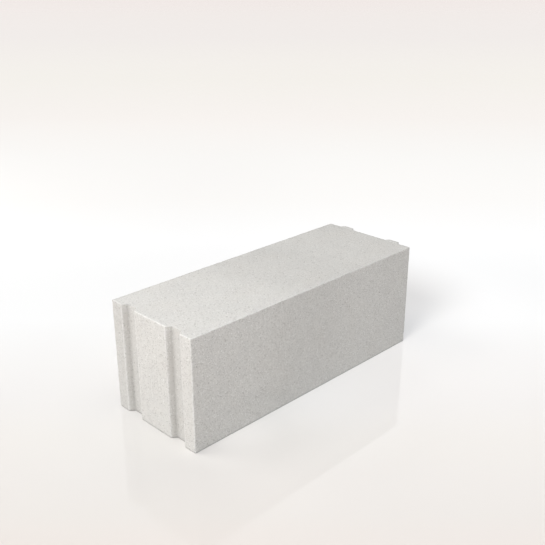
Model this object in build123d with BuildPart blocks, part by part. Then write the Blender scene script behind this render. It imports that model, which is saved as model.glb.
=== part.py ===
# Aerated concrete wall block, cast and cut as one piece, with a double tongue-and-groove head joint.
# The origin is the middle of the bed face, midway between the two end faces.
# +X runs along the block to the end with the tongues, +Y is across it and +Z is up.
# All sizes are in millimetres.

import os

from build123d import *

# The block between its flat faces
block_length = 650.0
block_width = 240.0
block_height = 240.0

# The head joint: two upright tongues on one end and two grooves in the other
joint_spacing = 136.0  # from the middle of one tongue to the middle of the other
tongue_base_width = 40.0
tongue_tip_width = 26.0
tongue_height = 9.5
side_clearance = 1.0  # free space beside each foot of a seated tongue
tip_clearance = 1.0  # free space past the tip of a seated tongue

# Rounding of the sawn edges, of the profiled lips and tips, and of the inside corners
arris_radius = 1.2
lip_radius = 3.0
root_radius = 2.0

# A groove takes the next block's tongue, and its flanks slope as the tongue's do
flank_slope = (tongue_base_width - tongue_tip_width) / 2 / tongue_height
groove_depth = tongue_height + tip_clearance
groove_mouth_width = tongue_base_width + 2 * side_clearance
groove_floor_width = groove_mouth_width - 2 * flank_slope * groove_depth

tongue_end = block_length / 2
groove_end = -block_length / 2
joint_middles = (-joint_spacing / 2, joint_spacing / 2)


def flanked_profile(foot_width, far_width, reach):
    """Plan of a tongue or a groove: foot_width across at X = 0, sloping to far_width at X = reach."""
    return Polygon(
        (0, -foot_width / 2),
        (reach, -far_width / 2),
        (reach, far_width / 2),
        (0, foot_width / 2),
        align=None,
        mode=Mode.PRIVATE,
    )


tongue = flanked_profile(tongue_base_width, tongue_tip_width, tongue_height)
groove = flanked_profile(groove_mouth_width, groove_floor_width, groove_depth)

with BuildPart() as block:
    # Plan of the block, the same at every height
    with BuildSketch(Plane.XY) as plan:
        Rectangle(block_length, block_width)
        for middle in joint_middles:
            add(tongue.moved(Location((tongue_end, middle))))
            add(groove.moved(Location((groove_end, middle))), mode=Mode.SUBTRACT)

        # Upright edges, from the grooves' end to the tongues' tips
        groove_face, groove_floors, tongue_face, tongue_tips = plan.vertices().group_by(Axis.X)
        groove_mouths = groove_face.sort_by(Axis.Y)[1:-1]
        tongue_roots = tongue_face.sort_by(Axis.Y)[1:-1]
        block_corners = plan.vertices().group_by(Axis.Y)[0] + plan.vertices().group_by(Axis.Y)[-1]
        fillet(groove_mouths + tongue_tips, lip_radius)
        fillet(groove_floors + tongue_roots, root_radius)
        fillet(block_corners, arris_radius)
    extrude(amount=block_height)

    # Rims of the top face and the bed face
    fillet(block.faces().filter_by(Axis.Z).edges(), arris_radius)

block.part.label = "aerated_block"

os.makedirs("parts", exist_ok=True)
export_step(block.part, "parts/aerated_block.step")
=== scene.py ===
import math

import bpy
import numpy as np
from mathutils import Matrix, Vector


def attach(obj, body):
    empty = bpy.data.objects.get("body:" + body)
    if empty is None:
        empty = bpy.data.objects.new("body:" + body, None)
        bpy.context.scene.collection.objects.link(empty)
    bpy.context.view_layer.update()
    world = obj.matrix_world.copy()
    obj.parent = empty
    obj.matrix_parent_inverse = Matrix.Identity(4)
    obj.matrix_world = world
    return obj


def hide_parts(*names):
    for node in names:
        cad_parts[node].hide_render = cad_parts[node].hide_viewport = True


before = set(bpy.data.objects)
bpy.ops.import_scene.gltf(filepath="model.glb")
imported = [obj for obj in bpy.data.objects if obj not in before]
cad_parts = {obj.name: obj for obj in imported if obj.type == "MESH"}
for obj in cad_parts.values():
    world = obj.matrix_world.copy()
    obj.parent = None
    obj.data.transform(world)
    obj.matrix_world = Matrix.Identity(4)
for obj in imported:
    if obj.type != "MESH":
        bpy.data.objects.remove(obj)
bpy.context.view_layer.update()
print("frame loaded:", sorted(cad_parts))

mm = 0.001
latticeTable = {
    "size": 4096,
    "strides": (73856093, 19349663, 83492791),
    "octaveShift": 7.31,  # metres, so that the octaves don't line up
}


def smoothStep(low, high, x):
    # 0 below low, 1 above high, and 3t^2 - 2t^3 between them
    t = np.clip((x - low) / (high - low), 0, 1)
    return t * t * (3 - 2 * t)


def bell(distance, reach, power=2):
    # exp(-(distance / reach)^power), which is 1 at the middle and 0 far away
    return np.exp(-(distance / reach) ** power)


def unevenSteps(cells, coarse, growth=1.33):
    # Places from 0 to 1: the steps grow from both ends inwards, up to coarse times the first step
    k = np.arange(cells)
    step = np.minimum(growth ** np.minimum(k, cells - 1 - k), coarse)
    return np.concatenate(([0.0], np.cumsum(step))) / step.sum()


def latticeNoise(points, cell, seed):
    # Random values at the corners of cubes of side cell, blended with 3t^2 - 2t^3 along X, Y and Z. Gives
    # about -1 to 1.
    table = np.random.default_rng(seed).uniform(-1, 1, latticeTable["size"])
    strides = latticeTable["strides"]
    place = points / cell
    corner = np.floor(place).astype(np.int64)
    t = place - corner
    t = t * t * (3 - 2 * t)
    total = np.zeros(len(points))
    for shift in np.ndindex(2, 2, 2):
        near = (corner + shift) * strides
        key = near[:, 0] ^ near[:, 1] ^ near[:, 2]
        weight = np.abs(1 - np.array(shift) - t).prod(axis=1)
        total += weight * table[key % latticeTable["size"]]
    return total


def roughNoise(points, cell, seed, octaves=2):
    # Sum of lattice noises, each with half the cell and half the height of the one before
    total = np.zeros(len(points))
    for n in range(octaves):
        total += latticeNoise(points + latticeTable["octaveShift"] * n, cell / 2 ** n, seed + n) / 2 ** n
    return total / (2 - 2 ** (1 - octaves))


blockForm = {
    "length": 650 * mm,  # between the two flat end faces
    "width": 240 * mm,
    "height": 240 * mm,
    "jointSpacing": 136 * mm,  # from the middle of one tongue to the middle of the other
    "grooveMouth": 42 * mm,
    "grooveFloor": 26.526 * mm,
    "grooveDepth": 10.5 * mm,
    "tongueFoot": 40 * mm,
    "tongueTip": 26 * mm,
    "tongueHeight": 9.5 * mm,
    "lipRadius": 3 * mm,  # lips of the grooves and tips of the tongues
    "rootRadius": 2 * mm,  # inside corners
    "cornerRadius": 1.6 * mm,  # upright corners of the block
    "rimRadius": 1.0 * mm,  # round the top face and the bed face
    "alongCells": 256,
    "landCells": 12,
    "middleCells": 28,
    "flankCells": 4,
    "floorCells": 8,
    "arcCells": 3,
    "cornerCells": 4,  # even, because the grid's own corner is the middle of the arc
    "uprightCells": 84,
    "rimCells": 3,
    "coarseness": {"along": 4, "land": 4, "middle": 4, "flank": 1, "floor": 1.5, "upright": 4},
}


def jointMiddles(form):
    # Y of the tongues and of the grooves: half the spacing to each side of the block's middle
    return -form["jointSpacing"] / 2, form["jointSpacing"] / 2


def planCorners(form):
    # Sharp corners of the block's plan with the kind of each, counter-clockwise from the one at -X, -Y
    endX, sideY = form["length"] / 2, form["width"] / 2
    foot, tip, reach = form["tongueFoot"] / 2, form["tongueTip"] / 2, form["tongueHeight"]
    mouth, floor, depth = form["grooveMouth"] / 2, form["grooveFloor"] / 2, form["grooveDepth"]
    corners = [(-endX, -sideY, "corner"), (endX, -sideY, "corner")]
    for middle in jointMiddles(form):
        corners += [(endX, middle - foot, "root"), (endX + reach, middle - tip, "lip"),
                    (endX + reach, middle + tip, "lip"), (endX, middle + foot, "root")]
    corners += [(endX, sideY, "corner"), (-endX, sideY, "corner")]
    for middle in reversed(jointMiddles(form)):
        corners += [(-endX, middle + mouth, "lip"), (-endX + depth, middle + floor, "root"),
                    (-endX + depth, middle - floor, "root"), (-endX, middle - mouth, "lip")]
    return corners


def planOutline(form):
    # Closed outline of the plan: straight runs joined by arcs. On an arc, point = centre + s r n(a), where
    # the normal n turns by the corner's angle and s is its sign.
    joint = ["flank", "floor", "flank"]
    endRuns = ["land"] + joint + ["middle"] + joint + ["land"]
    runs = ["along"] + endRuns + ["along"] + endRuns
    corners = planCorners(form)
    spots = np.array([c[:2] for c in corners])
    heading = np.roll(spots, -1, 0) - spots
    heading /= np.linalg.norm(heading, axis=1)[:, None]

    arcs, arcNormals = [], []
    for k, (*_, kind) in enumerate(corners):
        before, after = heading[k - 1], heading[k]
        turn = math.atan2(before[0] * after[1] - before[1] * after[0], before @ after)
        radius, sign = form[kind + "Radius"], math.copysign(1, turn)
        start = spots[k] - before * radius * math.tan(abs(turn) / 2)
        facing = np.array([before[1], -before[0]])
        cells = form["cornerCells"] if kind == "corner" else form["arcCells"]
        angle = np.linspace(0, turn, cells + 1)
        around = np.stack([facing[0] * np.cos(angle) - facing[1] * np.sin(angle),
                           facing[0] * np.sin(angle) + facing[1] * np.cos(angle)], 1)
        arcs.append(start - sign * radius * facing + sign * radius * around)
        arcNormals.append(around)

    outline, facings = [], []
    for k, run in enumerate(runs):
        start, end = arcs[k][-1], arcs[(k + 1) % len(corners)][0]
        steps = unevenSteps(form[run + "Cells"], form["coarseness"][run])[1:-1, None]
        outline += [arcs[k], start + (end - start) * steps]
        facings += [arcNormals[k], np.repeat(arcNormals[k][-1:], len(steps), 0)]
    shift = form["cornerCells"] // 2
    return np.roll(np.concatenate(outline), -shift, 0), np.roll(np.concatenate(facings), -shift, 0)


def wallSection(form):
    # Section of the wall from the bed's rim up to the top's rim, as inset from the outline, height and tilt
    # of the normal: inset = r (1 - cos a) and height = r (1 + sin a) for a from -90 to 0 degrees, then
    # straight up, and the same mirrored
    radius, height = form["rimRadius"], form["height"]
    angle = np.linspace(-math.pi / 2, 0, form["rimCells"] + 1)
    inset, low = radius * (1 - np.cos(angle)), radius * (1 + np.sin(angle))
    steps = unevenSteps(form["uprightCells"], form["coarseness"]["upright"])[1:-1]
    upright = radius + (height - 2 * radius) * steps
    insets = np.concatenate([inset, np.zeros(len(upright)), inset[::-1]])
    heights = np.concatenate([low, upright, height - low[::-1]])
    tilts = np.concatenate([angle, np.zeros(len(upright)), -angle[::-1]])
    return insets, heights, tilts


def blockGrid(form):
    # Wall: outline(j) - inset(k) n(j) at height(k). Top: a blend of the four sides of the wall's last ring,
    # P = (1-v) A(u) + v B(u) + (1-u) C(v) + u D(v) - the same blend of the four corners.
    outline, facings = planOutline(form)
    insets, heights, tilts = wallSection(form)
    around, levels = len(outline), len(insets)
    wall = np.empty((levels, around, 3))
    wall[:, :, :2] = outline[None] - insets[:, None, None] * facings[None]
    wall[:, :, 2] = heights[:, None]
    wallNormal = np.empty_like(wall)
    wallNormal[:, :, :2] = facings[None] * np.cos(tilts)[:, None, None]
    wallNormal[:, :, 2] = np.sin(tilts)[:, None]

    along = form["alongCells"] + form["cornerCells"]
    across = around // 2 - along
    ringStart = (levels - 1) * around
    ring = np.arange(around)
    sideA, endD = ring[:along + 1], ring[along:along + across + 1]
    sideB = ring[along + across:2 * along + across + 1][::-1]
    endC = np.append(ring[2 * along + across:], 0)[::-1]
    rim = wall[-1, :, :2]
    a, b, c, d = rim[sideA], rim[sideB], rim[endC], rim[endD]
    u = ((a[:, 0] - a[0, 0]) / (a[-1, 0] - a[0, 0]))[:, None, None]
    v = ((c[:, 1] - c[0, 1]) / (c[-1, 1] - c[0, 1]))[None, :, None]
    patch = (1 - v) * a[:, None] + v * b[:, None] + (1 - u) * c[None] + u * d[None]
    patch -= (1 - u) * (1 - v) * a[0] + u * (1 - v) * a[-1] + (1 - u) * v * b[0] + u * v * b[-1]
    inner = patch[1:-1, 1:-1].reshape(-1, 2)
    top = np.column_stack([inner, np.full(len(inner), form["height"])])

    points = np.concatenate([wall.reshape(-1, 3), top])
    normals = np.concatenate([wallNormal.reshape(-1, 3), np.tile([0.0, 0.0, 1.0], (len(top), 1))])

    after = np.roll(ring, -1)
    low = np.arange(levels - 1)[:, None] * around
    high = low + around
    wallFaces = np.stack([low + ring, low + after, high + after, high + ring], -1)
    grid = np.empty((along + 1, across + 1), np.int64)
    grid[1:-1, 1:-1] = levels * around + np.arange(len(top)).reshape(along - 1, across - 1)
    grid[:, 0], grid[:, -1] = ringStart + sideA, ringStart + sideB
    grid[0], grid[-1] = ringStart + endC, ringStart + endD
    topFaces = np.stack([grid[:-1, :-1], grid[1:, :-1], grid[1:, 1:], grid[:-1, 1:]], -1)
    faces = np.concatenate([wallFaces.reshape(-1, 4), topFaces.reshape(-1, 4)])
    return points, normals, faces, ring[::-1]


def meshFromArrays(name, points, quads, lastFace):
    # Four-sided faces and one last face with many corners, which is the bed
    mesh = bpy.data.meshes.new(name)
    loops = np.concatenate([quads.ravel(), lastFace])
    mesh.vertices.add(len(points))
    mesh.vertices.foreach_set("co", points.astype(np.float32).ravel())
    mesh.loops.add(len(loops))
    mesh.loops.foreach_set("vertex_index", loops.astype(np.int32))
    mesh.polygons.add(len(quads) + 1)
    mesh.polygons.foreach_set("loop_start", np.arange(len(quads) + 1, dtype=np.int32) * 4)
    mesh.update(calc_edges=True)
    mesh.validate()
    mesh.polygons.foreach_set("use_smooth", np.ones(len(mesh.polygons), bool))
    piece = bpy.data.objects.new(name, mesh)
    bpy.context.scene.collection.objects.link(piece)
    return piece


blockWear = {
    "seeds": {"nick": 11, "wave": 11, "grain": 31, "crumble": 51, "break": 71},
    "waveCell": 95 * mm,  # gentle unevenness left by the cutting wires
    "waveDepth": 0.22 * mm,
    "grainCell": 7 * mm,
    "grainDepth": 0.10 * mm,
    "arrisReach": 2.2 * mm,  # how far from an arris the crumbling reaches
    "arrisDepth": 0.55 * mm,
    "crumbleCell": 5 * mm,
    "crumble": {"mean": 0.35, "swing": 0.9, "most": 1.3},
    "nickSpacing": 30 * mm,
    "nickLength": (2.5 * mm, 8 * mm),
    "nickDepth": (0.7 * mm, 3.0 * mm),
    "nickPlaces": (0.01, 0.99),  # along the arris
    "nickWidth": (0.8, 1.5),  # in depths
    "nickRarity": 2.5,  # the higher, the fewer are deep
    "nickLift": 0.45,  # how far outside the arris the middle of a nick lies, in depths
    "breakZone": 14 * mm,  # no nick reaches further from an arris
    "breakCell": 3.5 * mm,  # unevenness of the broken surfaces
    "breakSwing": 0.35,
    "breakEdge": 0.25,  # width of the shade's soft edge, in half sizes
}
blockShades = {
    "arrisPale": 2.0 * mm,  # how far the pale arris reaches: wear and a painted highlight
    "footReach": 2.4 * mm,  # painted shade: a dark line where the block meets the floor
    "creaseReach": 5.5 * mm,  # painted shade in the inside corners
    "farReach": 3.5 * mm,  # painted shade: a grey line along the far rims of the top, which face away from the light
    "farEnd": 1 * mm,  # how near the end and the side a point of that rim lies
    "farSide": 0.5 * mm,
    "farBelowTop": 2 * mm,
    "farZone": 12 * mm,
    # painted shade on the slanted flanks of the joints and on the floors of the grooves
    "joint": {"grooveFlank": 0.4, "tongueFlank": 1.0, "grooveFloor": 0.25},
    "jointInset": 10 * mm,  # of the joints from the long sides, at least
    "slantFrom": 0.4,  # Y of a slanted flank's normal, at least
    "floorBand": 1 * mm,
    "wallTilt": 0.5,  # Z of a wall's normal, at most
    "paintedBandMiddle": {"sides": -20 * mm, "top": 35 * mm},  # painted shade: a faintly darker band across the block, where the lamps at its ends light it least
    "paintedBandSlant": -0.25,  # how it leans over the top
    "paintedBandReach": 115 * mm,
    "paintedBandPower": 4,
    "darkEndStripAcross": (88 * mm, 94 * mm),  # the strip of the grooved end beyond the far groove
    "darkEndStripAlong": (-322.5 * mm, -324.5 * mm),
}


def arrisLines(form):
    # Start, end and outward direction of every convex arris, as arrays
    x, y, z = form["length"] / 2, form["width"] / 2, form["height"]
    lines = []
    for height, up in ((0, -1), (z, 1)):
        for side in (-1, 1):
            lines.append(((-x, side * y, height), (x, side * y, height), (0, side, up)))
            lines.append(((side * x, -y, height), (side * x, y, height), (side, 0, up)))
    for side in (-1, 1):
        for end in (-1, 1):
            lines.append(((end * x, side * y, 0), (end * x, side * y, z), (end, side, 0)))
    lean = 0.5  # of a lip's outward direction, sideways
    for middle in jointMiddles(form):
        for side in (-1, 1):
            mouth, tip = middle + side * form["grooveMouth"] / 2, middle + side * form["tongueTip"] / 2
            reach = x + form["tongueHeight"]
            lines.append(((-x, mouth, 0), (-x, mouth, z), (-1, -lean * side, 0)))
            lines.append(((reach, tip, 0), (reach, tip, z), (1, lean * side, 0)))
    return [tuple(np.array(part, float) for part in line) for line in lines]


def arrisDistance(points, lines):
    # Distance from each point to the nearest arris: |p - a - t (b - a)| with t held between 0 and 1
    nearest = np.full(len(points), np.inf)
    for start, end, _ in lines:
        run = end - start
        t = np.clip((points - start) @ run / (run @ run), 0, 1)
        nearest = np.minimum(nearest, np.linalg.norm(points - start - t[:, None] * run, axis=1))
    return nearest


def creaseDistance(points, form):
    # Distance in plan to the nearest inside corner of a groove or a tongue
    roots = np.array([corner[:2] for corner in planCorners(form) if corner[2] == "root"])
    return np.linalg.norm(points[:, None, :2] - roots[None], axis=2).min(axis=1)


def nickList(lines, wear):
    # Middles and half sizes of the small pieces broken out of the arrises, at random places along them
    draw = np.random.default_rng(wear["seeds"]["nick"])
    shallow, deep = wear["nickDepth"]
    places, sizes = [], []
    for start, end, out in lines:
        run = end - start
        count = max(1, int(np.linalg.norm(run) / wear["nickSpacing"]))
        along = np.abs(run) / np.linalg.norm(run)
        t = draw.uniform(*wear["nickPlaces"], count)
        length = draw.uniform(*wear["nickLength"], count)
        depth = shallow + (deep - shallow) * draw.uniform(0, 1, count) ** wear["nickRarity"]
        width = depth[:, None] * draw.uniform(*wear["nickWidth"], (count, 3))
        lift = out / np.linalg.norm(out) * depth[:, None] * wear["nickLift"]
        places.append(start + t[:, None] * run + lift)
        sizes.append(along * length[:, None] + (1 - along) * width)
    return np.concatenate(places), np.concatenate(sizes)


# pieces broken out at chosen places, each with its middle and half size in millimetres
brokenCorners = [
    ((326.0, 121.5, 241.0), (5.0, 4.0, 3.5)),
    ((-326.5, 121.0, 241.5), (3.0, 3.0, 3.0)),
    ((-326.5, -121.0, -1.0), (5.0, 4.0, 5.0)),
    ((-327.0, 121.0, -1.5), (6.0, 5.0, 6.0)),
    ((326.0, -121.5, 0.0), (4.0, 4.0, 5.0)),
    ((-326.0, -121.5, 241.5), (3.0, 3.0, 3.5)),
    ((327.0, 121.0, -1.0), (6.0, 4.0, 5.0)),
]
topNicks = [  # in the long top arris at -Y
    ((-217.0, -121.0, 240.5), (7.0, 2.6, 2.4)),
    ((-120.0, -121.0, 241.0), (4.0, 2.2, 2.4)),
    ((18.6, -121.0, 241.0), (5.0, 2.4, 2.4)),
    ((196.0, -121.0, 240.5), (7.0, 2.6, 2.4)),
    ((269.0, -121.0, 241.0), (8.0, 2.6, 2.4)),
]
sideChips = [  # out of the long side right under that arris, which overhangs them
    ((-210.0, -120.8, 236.8), (8.0, 2.0, 2.0)),
    ((-139.0, -121.0, 236.6), (10.0, 2.4, 2.3)),
    ((-98.0, -120.8, 237.0), (12.0, 2.0, 1.8)),
    ((-86.0, -121.0, 236.4), (5.0, 2.5, 2.4)),
    ((-8.0, -120.8, 236.4), (5.0, 2.0, 2.6)),
    ((104.0, -121.0, 236.8), (9.0, 2.2, 2.2)),
    ((188.0, -120.8, 236.6), (8.0, 2.0, 2.2)),
    ((262.0, -121.0, 236.4), (9.0, 2.2, 2.4)),
]


def wearSurface(points, normals, form, wear, bedRing):
    # p + n h with h = -(wave + grain + crumbling near an arris). Then each nick pushes what lies inside its
    # uneven ellipsoid, |(p - c) / s| < 1 + noise, straight out to that surface. Nothing rises above the sawn
    # faces.
    seeds, crumbling = wear["seeds"], wear["crumble"]
    lines = arrisLines(form)
    distance = arrisDistance(points, lines)
    wave = 0.5 + 0.5 * roughNoise(points, wear["waveCell"], seeds["wave"])
    grain = 0.5 + 0.5 * roughNoise(points, wear["grainCell"], seeds["grain"])
    crumble = roughNoise(points, wear["crumbleCell"], seeds["crumble"])
    crumble = np.clip(crumbling["mean"] + crumbling["swing"] * crumble, 0, crumbling["most"])
    crumble *= bell(distance, wear["arrisReach"])
    depth = wear["waveDepth"] * wave + wear["grainDepth"] * grain + wear["arrisDepth"] * crumble
    moved = points - normals * depth[:, None]

    close = np.flatnonzero(distance < wear["breakZone"])
    spots = moved[close]
    uneven = 1 + wear["breakSwing"] * roughNoise(points[close], wear["breakCell"], seeds["break"])
    places, sizes = nickList(lines, wear)
    chosen = np.array(brokenCorners + topNicks + sideChips) * mm
    places, sizes = np.concatenate([places, chosen[:, 0]]), np.concatenate([sizes, chosen[:, 1]])
    firstChip = len(places) - len(sideChips)
    broken, pitted = np.zeros(len(points)), np.zeros(len(points))
    for n, (place, size) in enumerate(zip(places, sizes)):
        offset = (spots - place) / size
        reach = np.linalg.norm(offset, axis=1)
        inside = reach < uneven
        push = (uneven[inside] / reach[inside])[:, None] * offset[inside] * size
        share = smoothStep(0, wear["breakEdge"], uneven[inside] - reach[inside])
        shade = pitted if n >= firstChip else broken
        shade[close[inside]] = np.maximum(shade[close[inside]], share)
        spots[inside] = place + push
    moved[close] = spots
    moved[bedRing, 2] = 0
    moved[:, 2] = np.clip(moved[:, 2], 0, form["height"])
    return moved, distance, broken, pitted


def farRimShade(flat, form, shades):
    # Painted shade: 1 on the top's rim at the tongue end and along the side at +Y, falling off with the
    # distance in plan
    endX, sideY = form["length"] / 2, form["width"] / 2
    outline = planOutline(form)[0]
    far = outline[(outline[:, 0] > endX - shades["farEnd"]) | (outline[:, 1] > sideY - shades["farSide"])]
    onTop = flat[:, 2] > form["height"] - shades["farBelowTop"]
    nearRim = (flat[:, 0] > endX - shades["farZone"]) | (flat[:, 1] > sideY - shades["farZone"])
    chosen = np.flatnonzero(onTop & nearRim)
    away = np.linalg.norm(flat[chosen, None, :2] - far[None], axis=2).min(axis=1)
    shade = np.zeros(len(flat))
    shade[chosen] = bell(away, shades["farReach"])
    return shade


def jointShade(flat, normals, form, shades):
    # Share of painted shade on the slanted flanks of the joint and on the floors of the grooves, and 0
    # elsewhere
    x, y, share = flat[:, 0], flat[:, 1], shades["joint"]
    inner = np.abs(y) < form["width"] / 2 - shades["jointInset"]
    slanted = inner & (np.abs(normals[:, 1]) > shades["slantFrom"])
    floor = np.abs(x + form["length"] / 2 - form["grooveDepth"]) < shades["floorBand"]
    sunk = inner & floor & (np.abs(normals[:, 2]) < shades["wallTilt"])
    flank = np.where(x > 0, share["tongueFlank"], share["grooveFlank"])
    return np.where(slanted, flank, share["grooveFloor"] * sunk)


def paintedBandShade(flat, normals, shades):
    # Painted shade: a bell round the middle m on the sides, and round m + slant y on the top
    middles, onTop = shades["paintedBandMiddle"], normals[:, 2] > shades["wallTilt"]
    middle = np.where(onTop, middles["top"] + shades["paintedBandSlant"] * flat[:, 1], middles["sides"])
    return bell(flat[:, 0] - middle, shades["paintedBandReach"], shades["paintedBandPower"])


def darkEndStripShade(points, shades):
    # 1 on the strip of the grooved end beyond the far groove: the product of two smooth steps
    across = smoothStep(*shades["darkEndStripAcross"], points[:, 1])
    return across * smoothStep(*shades["darkEndStripAlong"], points[:, 0])


flat, normals, quads, bedRing = blockGrid(blockForm)
points, arris, broken, pitted = wearSurface(flat, normals, blockForm, blockWear, bedRing)
block = meshFromArrays("sawn_block", points, quads, bedRing)
crease = bell(creaseDistance(points, blockForm), blockShades["creaseReach"])
pointShades = {
    # pale arrises: wear and a painted highlight
    "arris": bell(arris, blockShades["arrisPale"]),
    "broken": broken,
    # painted shade in the side chips under the overhanging arris
    "pitted": pitted,
    # painted shade along the far rims of the top
    "farRim": farRimShade(flat, blockForm, blockShades),
    # painted shade in the joints
    "joint": jointShade(flat, normals, blockForm, blockShades),
    # painted shade across the middle
    "damp": paintedBandShade(flat, normals, blockShades),
    # painted shade where the block meets the floor
    "foot": bell(points[:, 2], blockShades["footReach"]),
    # darker on the strip of the grooved end beyond the far groove
    "dulled": darkEndStripShade(points, blockShades),
    # painted shade in the inside corners of the walls
    "crease": crease * (np.abs(normals[:, 2]) < blockShades["wallTilt"]),
}
for name, values in pointShades.items():
    block.data.attributes.new(name, "FLOAT", "POINT").data.foreach_set("value", values.astype(np.float32))
print("block:", len(points), "points,", 2 * len(quads) + len(bedRing) - 2, "triangles")


class Signal:
    # A socket that varies over the surface, and that adds, subtracts, multiplies and divides as numbers do
    def __init__(self, look, socket):
        self.look, self.socket = look, socket

    def maths(self, operation, first, second):
        return self.look.node("ShaderNodeMath", {"operation": operation}, {0: first, 1: second})

    def __add__(self, other):
        return self.maths("ADD", self, other)

    def __sub__(self, other):
        return self.maths("SUBTRACT", self, other)

    def __mul__(self, other):
        return self.maths("MULTIPLY", self, other)

    def __truediv__(self, other):
        return self.maths("DIVIDE", self, other)

    def __rsub__(self, other):
        return self.maths("SUBTRACT", other, self)

    def __rtruediv__(self, other):
        return self.maths("DIVIDE", other, self)

    __radd__, __rmul__ = __add__, __mul__

    def most(self, other):
        return self.maths("MAXIMUM", self, other)

    def output(self, name):
        return Signal(self.look, self.socket.node.outputs[name])


class Look:
    # One material's or world's nodes
    def __init__(self, owner):
        owner.use_nodes = True
        self.owner, self.tree = owner, owner.node_tree
        self.tree.nodes.clear()

    def node(self, kind, settings=None, sockets=None, output=0):
        made = self.tree.nodes.new(kind)
        for name, value in (settings or {}).items():
            if name == "stops":
                stops = made.color_ramp.elements
                while len(stops) < len(value):
                    stops.new(1.0)
                for stop, (place, colour) in zip(stops, value):
                    stop.position, stop.color = place, colour
            else:
                setattr(made, name, value)
        for name, value in (sockets or {}).items():
            if isinstance(value, Signal):
                self.tree.links.new(value.socket, made.inputs[name])
            else:
                made.inputs[name].default_value = value
        return Signal(self, made.outputs[output]) if len(made.outputs) else None

    def soft(self, signal, low, high):
        # 0 below low, 1 above high, smooth between them; low may be the larger one
        return self.node("ShaderNodeMapRange", {"interpolation_type": "SMOOTHSTEP"},
                         {"Value": signal, "From Min": low, "From Max": high})

    def tint(self, share, first, second):
        return self.node("ShaderNodeMix", {"data_type": "RGBA"}, {0: share, 6: first, 7: second}, 2)

    def vectors(self, operation, first, second):
        return self.node("ShaderNodeVectorMath", {"operation": operation}, {0: first, 1: second})

    def given(self, name):
        # A value that the mesh carries at its points
        return self.node("ShaderNodeAttribute", {"attribute_name": name}, output="Fac")

    def noise(self, place, cell, detail, rough):
        return self.node("ShaderNodeTexNoise", {"noise_dimensions": "3D"},
                         {"Vector": place, "Scale": 1 / cell, "Detail": detail, "Roughness": rough})

    def bubbles(self, place, cell, radii, share, shift, edge):
        # Bubbles of air cut open by the wire: a sphere in each irregular cell, its radius from the cell's own
        # random number, in cells. share is the part of the cells that have one. Gives 1 inside, 0 outside.
        place = self.node("ShaderNodeMapping", None, {"Vector": place, "Location": shift})
        cells = self.node("ShaderNodeTexVoronoi", {"feature": "F1"}, {"Vector": place, "Scale": 1 / cell})
        draw = self.node("ShaderNodeSeparateColor", None, {"Color": cells.output("Color")})
        radius = draw * (radii[1] - radii[0]) + radii[0]
        there = self.node("ShaderNodeMath", {"operation": "LESS_THAN"}, {0: draw.output("Green"), 1: share})
        return self.soft(cells / radius, *edge) * there


concreteLook = {
    "pale": (0.673, 0.658, 0.628, 1),
    "grey": (0.644, 0.631, 0.605, 1),
    "warm": (0.685, 0.661, 0.623, 1),
    "dusty": (0.744, 0.732, 0.704, 1),
    # painted shade in the pores and in the low spots of the grain
    "hollow": (0.33, 0.315, 0.295, 1),
    "fresh": (0.82, 0.81, 0.79, 1),
    "shade": (0.26, 0.25, 0.235, 1),
    "pores": {  # side of the cells, radii in cells, share of the cells, shift of the pattern
        "small": (2.9 * mm, (0.20, 0.40), 0.60, (0.31, 0.17, 0.05)),
        "middling": (7.0 * mm, (0.13, 0.26), 0.55, (0.11, 0.53, 0.29)),
        "large": (21 * mm, (0.05, 0.10), 0.30, (0.73, 0.37, 0.91)),
        "specks": (3.6 * mm, (0.12, 0.37), 0.42, (0.57, 0.83, 0.41)),  # light grains, not pores
    },
    "poreEdge": (1.15, 0.70),  # in radii, from outside to inside
    "noises": {  # size of the patches, octaves beyond the first, roughness
        "fine": (1.6 * mm, 3, 0.60),
        "grain": (4.2 * mm, 2, 0.60),
        "clouds": (38 * mm, 3, 0.55),
        "warmth": (75 * mm, 2, 0.50),
        "marked": (60 * mm, 1, 0.40),  # where the walls have cutting marks
    },
    "marks": (2.6 * mm, 2, 0.50),  # upright lines: a noise drawn out in height and slightly turned
    "markStretch": (1, 1, 0.035),
    "markTurn": (0.03, 0.05, 0),
    "markArea": (0.48, 0.64),
    "markTop": (239.2 * mm, 238.0 * mm),  # height from which down they are drawn
    "tints": (  # pattern, from and to which of its values, how much at most, colour
        ("clouds", 0.35, 0.70, 1.00, "grey"),
        ("warmth", 0.45, 0.75, 0.50, "warm"),
        ("fine", 0.42, 0.75, 0.30, "dusty"),
        ("grain", 0.50, 0.72, 0.40, "dusty"),
        # painted shade in the low spots of the grain
        ("grain", 0.48, 0.28, 0.10, "hollow"),
        ("streaks", 0.02, 0.22, 0.60, "dusty"),
        # painted shade in the pores
        ("pore", 0.10, 1.00, 0.50, "hollow"),
    ),
    "specks": 0.95,
    "rubbedHighlight": 0.85,  # the arrises, pale where the grain is coarse: wear and a painted highlight
    "rubbedHighlightGrain": (0.36, 0.58),
    "broken": 0.35,
    # painted shade along the far rims of the top
    "farRim": 0.34,
    "farRimGrain": (0.70, 0.42),
    # painted shade in the creases, the joints, the side chips, across the middle and at the foot; the end
    # strip only darker
    "shadeTints": {"crease": 0.17, "dulled": 0.13, "joint": 0.35, "damp": 0.078, "pitted": 0.05, "foot": 0.70},
    "noiseMean": 0.5,
    "relief": {"fine": 0.22, "grain": 0.7, "streaks": 0.35, "small": 0.45, "middling": 0.8, "large": 1.2},
    "reliefHeight": 1 * mm,
    "reliefStrength": 0.8,
    "rough": {"least": 0.86, "pore": 0.06, "grain": 0.06},
    "gloss": 0.25,
}


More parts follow.
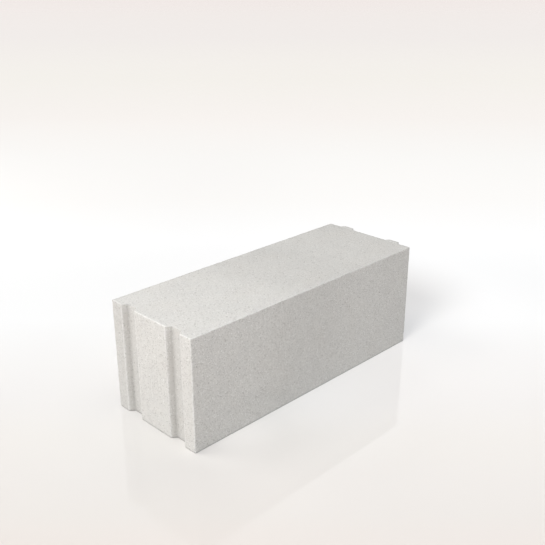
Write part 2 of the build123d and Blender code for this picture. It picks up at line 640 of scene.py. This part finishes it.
def concreteMaterial(look):
    shader = Look(bpy.data.materials.new("aerated_concrete"))
    place = shader.node("ShaderNodeTexCoord", output="Object")
    height = shader.node("ShaderNodeSeparateXYZ", None, {0: place}).output("Z")
    mean = look["noiseMean"]
    parts = {name: shader.bubbles(place, *facts, look["poreEdge"]) for name, facts in look["pores"].items()}
    parts.update({name: shader.noise(place, *facts) for name, facts in look["noises"].items()})
    parts["pore"] = parts["small"].most(parts["middling"]).most(parts["large"])

    drawnOut = shader.node("ShaderNodeMapping", None, {
        "Vector": place, "Rotation": look["markTurn"], "Scale": look["markStretch"]})
    lines = shader.noise(drawnOut, *look["marks"])
    marked = shader.soft(parts["marked"], *look["markArea"])
    parts["streaks"] = (lines - mean) * shader.soft(height, *look["markTop"]) * marked

    colour = look["pale"]
    for name, low, high, share, tone in look["tints"]:
        colour = shader.tint(shader.soft(parts[name], low, high) * share, colour, look[tone])
    colour = shader.tint(parts["specks"] * look["specks"], colour, look["fresh"])
    farRim, grain = shader.given("farRim"), parts["grain"]
    # pale arrises, worn and with a painted highlight, left off the far rims, which face away from the light
    rubbedHighlight = shader.given("arris") * (1 - farRim) * shader.soft(grain, *look["rubbedHighlightGrain"])
    colour = shader.tint(rubbedHighlight * look["rubbedHighlight"], colour, look["fresh"])
    colour = shader.tint(shader.given("broken") * look["broken"], colour, look["dusty"])
    # painted shade along the far rims
    dimmed = farRim * shader.soft(grain, *look["farRimGrain"])
    colour = shader.tint(dimmed * look["farRim"], colour, look["shade"])
    # painted shade, and the darker end strip
    for name, share in look["shadeTints"].items():
        colour = shader.tint(shader.given(name) * share, colour, look["shade"])

    weights, rough = look["relief"], look["rough"]
    relief = (parts["fine"] - mean) * weights["fine"] + (grain - mean) * weights["grain"]
    relief = relief + parts["streaks"] * weights["streaks"]
    for name in ("small", "middling", "large"):
        relief = relief - parts[name] * weights[name]
    bump = shader.node("ShaderNodeBump", None, {
        "Height": relief, "Distance": look["reliefHeight"], "Strength": look["reliefStrength"]})
    roughness = parts["pore"] * rough["pore"] + grain * rough["grain"] + rough["least"]
    body = shader.node("ShaderNodeBsdfPrincipled", None, {
        "Base Color": colour, "Roughness": roughness, "Normal": bump, "Specular IOR Level": look["gloss"]})
    shader.node("ShaderNodeOutputMaterial", None, {"Surface": body})
    return shader.owner


block.data.materials.append(concreteMaterial(concreteLook))
print("concrete material made")

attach(block, "root")
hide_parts("aerated_block")


floorLook = {
    "halfSize": 40.0,
    "gloss": 0.30,
    "rough": 0.0,
    "albedo": (0.666, 0.638, 0.605, 1),
    "slant": 0.7071,  # share of X and of Y in the way back over the floor, and in the way across it
    "glow": (  # distance from the block's middle on the way back, and the light added there
        (-0.60, (0.096, 0.053, 0.044, 1)),
        (-0.50, (0.082, 0.073, 0.070, 1)),
        (-0.40, (0.098, 0.093, 0.096, 1)),
        (-0.27, (0.120, 0.120, 0.120, 1)),
        (-0.13, (0.145, 0.154, 0.171, 1)),
        (0.04, (0.218, 0.233, 0.253, 1)),
        (0.25, (0.303, 0.329, 0.357, 1)),
        (0.84, (0.391, 0.412, 0.437, 1)),
        (1.28, (0.369, 0.375, 0.380, 1)),
        (1.90, (0.341, 0.345, 0.345, 1)),
        (2.80, (0.300, 0.277, 0.264, 1)),
        (4.20, (0.247, 0.231, 0.201, 1)),
        (6.90, (0.181, 0.151, 0.139, 1)),
        (14.0, (0.075, 0.019, 0.000, 1)),
    ),
    "leftLess": 0.035,  # how much less of it on the left, where the lamps stand
    "leftRight": (-0.35, 0.40),
    "leftBack": (1.3, 2.7),  # and no difference any more beyond this
    "patches": (  # middle, half size, and the painted light added there, which is a painted shadow where it is negative
        ((-0.07, -0.13), (0.32, 0.30), (0.097, 0.106, 0.108)),
        ((-0.36, -0.03), (0.31, 0.29), (-0.066, -0.055, -0.045)),
        ((-0.24, -0.11), (0.13, 0.14), (0.140, 0.134, 0.133)),
        ((0.28, -0.25), (0.67, 1.02), (0.095, 0.085, 0.079)),
        ((0.50, 0.11), (0.35, 0.32), (-0.133, -0.149, -0.159)),
    ),
}


def floorMaterial(look):
    # The paper catches more light behind the block than in front of it, which is given as light of its own
    shader = Look(bpy.data.materials.new("studio_floor"))
    spot = shader.node("ShaderNodeTexCoord", output="Object")
    place = shader.node("ShaderNodeSeparateXYZ", None, {0: spot})
    away = (place.output("X") + place.output("Y")) * look["slant"]
    side = (place.output("X") - place.output("Y")) * look["slant"]
    near, far = look["glow"][0][0], look["glow"][-1][0]
    stops = [((distance - near) / (far - near), colour) for distance, colour in look["glow"]]
    glow = shader.node("ShaderNodeValToRGB", {"stops": stops}, {"Fac": (away - near) / (far - near)})
    less = shader.soft(side, *reversed(look["leftRight"])) * shader.soft(away, *reversed(look["leftBack"]))
    less = less * look["leftLess"]
    less = shader.node("ShaderNodeCombineXYZ", None, {0: less, 1: less, 2: less})
    glow = shader.vectors("SUBTRACT", glow, less)
    for middle, halfSize, amount in look["patches"]:
        offset = shader.vectors("DIVIDE", shader.vectors("SUBTRACT", spot, (*middle, 0)), (*halfSize, 1))
        reach = shader.node("ShaderNodeVectorMath", {"operation": "LENGTH"}, {0: offset}, "Value")
        patch = shader.node("ShaderNodeVectorMath", {"operation": "SCALE"}, {
            0: amount, "Scale": shader.soft(reach, 1, 0)})
        glow = shader.vectors("ADD", glow, patch)
    body = shader.node("ShaderNodeBsdfPrincipled", None, {
        "Base Color": look["albedo"], "Roughness": look["rough"], "Specular IOR Level": look["gloss"],
        "Emission Color": shader.vectors("MAXIMUM", glow, (0, 0, 0)), "Emission Strength": 1.0})
    shader.node("ShaderNodeOutputMaterial", None, {"Surface": body})
    shader.owner.cycles.emission_sampling = "NONE"
    return shader.owner


half = floorLook["halfSize"]
floorMesh = bpy.data.meshes.new("studio_floor")
floorCorners = [(-half, -half, 0), (half, -half, 0), (half, half, 0), (-half, half, 0)]
floorMesh.from_pydata(floorCorners, [], [(0, 1, 2, 3)])
floorMesh.materials.append(floorMaterial(floorLook))
floor = bpy.data.objects.new("studio_floor", floorMesh)
bpy.context.scene.collection.objects.link(floor)

coolWhite = (0.96, 1.0, 1.05)
studioLights = {
    # name: place, what it points at, width, height, watts and, where it isn't white, colour
    "overhead": ((0, 0, 6), (0, 0, 0), 8, 8, 174),
    "leftLow": ((-0.9, 2.2, 0.7), (0, 0, 0.12), 1.2, 1.0, 9),
    "nearLeft": ((-0.7, 0.35, 1.0), (-0.3, 0, 0.2), 0.5, 0.5, 1.3),
    "nearEnd": ((-0.9, -0.1, 1.0), (-0.3, 0, 0.2), 0.5, 0.5, 2.35),
    "rightNear": ((-0.2, -1.6, 0.8), (-0.2, 0, 0.12), 0.8, 0.8, 6.0, coolWhite),
    "rightFar": ((0.5, -2.0, 1.6), (0.1, 0, 0.12), 1.2, 1.2, 1.3, coolWhite),
    "rightCorner": ((-0.75, -0.75, 0.45), (-0.3, -0.12, 0.12), 0.4, 0.4, 0.6, coolWhite),
}
studioSuns = {
    # name: direction towards it, its angle in degrees, strength
    "key": ((-0.786, -0.167, 0.595), 20, 1.41),
    "leftSky": ((-0.50, 0.65, 0.57), 40, 0.90),
}


def placeLight(lamp, place, aim):
    light = bpy.data.objects.new(lamp.name, lamp)
    light.location = place
    light.visible_glossy = False  # the floor mirrors the block and the paper, and no lamp
    light.rotation_euler = Vector(aim).to_track_quat("-Z", "Y").to_euler()
    bpy.context.scene.collection.objects.link(light)


for name, (place, target, width, height, watts, *colour) in studioLights.items():
    lamp = bpy.data.lights.new(name, "AREA")
    lamp.color = colour[0] if colour else (1, 1, 1)
    lamp.shape, lamp.size, lamp.size_y, lamp.energy = "RECTANGLE", width, height, watts
    placeLight(lamp, place, Vector(target) - Vector(place))

for name, (towards, angle, strength) in studioSuns.items():
    lamp = bpy.data.lights.new(name, "SUN")
    lamp.angle, lamp.energy = math.radians(angle), strength
    placeLight(lamp, towards, -Vector(towards))
print("lamps placed")

worldLook = {
    "seen": 1.0,
    "mirrored": 0.55,  # more light in the part of it that the floor mirrors, between the two heights
    "rise": (0.36, 0.50),
    "fall": (0.60, 0.72),
    "colour": (1.0, 0.995, 0.99, 1),
}


def studioWorld(look):
    # The bright paper all round. Only the camera and glossy reflections see it, so it lights nothing else.
    shader = Look(bpy.data.worlds.new("studio"))
    path = shader.node("ShaderNodeLightPath", output="Is Camera Ray")
    shown = path.most(path.output("Is Glossy Ray"))
    around = shader.node("ShaderNodeTexCoord", output="Generated")
    up = shader.node("ShaderNodeSeparateXYZ", None, {0: around}, "Z")
    band = shader.soft(up, *look["rise"]) * shader.soft(up, *reversed(look["fall"]))
    strength = shown * look["seen"] + path.output("Is Singular Ray") * band * look["mirrored"]
    sky = shader.node("ShaderNodeBackground", None, {"Color": look["colour"], "Strength": strength})
    shader.node("ShaderNodeOutputWorld", None, {"Surface": sky})
    return shader.owner


bpy.context.scene.world = studioWorld(worldLook)
bpy.context.scene.view_settings.view_transform = "Standard"

cameraPlace = {
    "location": (-1.1035, -1.1002, 0.8801),
    "tilt": 67.586,  # degrees from straight down
    "heading": -45.065,
    "lens": 52.48,
    "sensor": 36,
    "sight": 200,
}
camera = bpy.data.objects.new("camera", bpy.data.cameras.new("camera"))
camera.location = cameraPlace["location"]
camera.rotation_euler = (math.radians(cameraPlace["tilt"]), 0, math.radians(cameraPlace["heading"]))
camera.data.lens, camera.data.sensor_width = cameraPlace["lens"], cameraPlace["sensor"]
camera.data.clip_end = cameraPlace["sight"]
bpy.context.scene.collection.objects.link(camera)
bpy.context.scene.camera = camera
print("stage set")
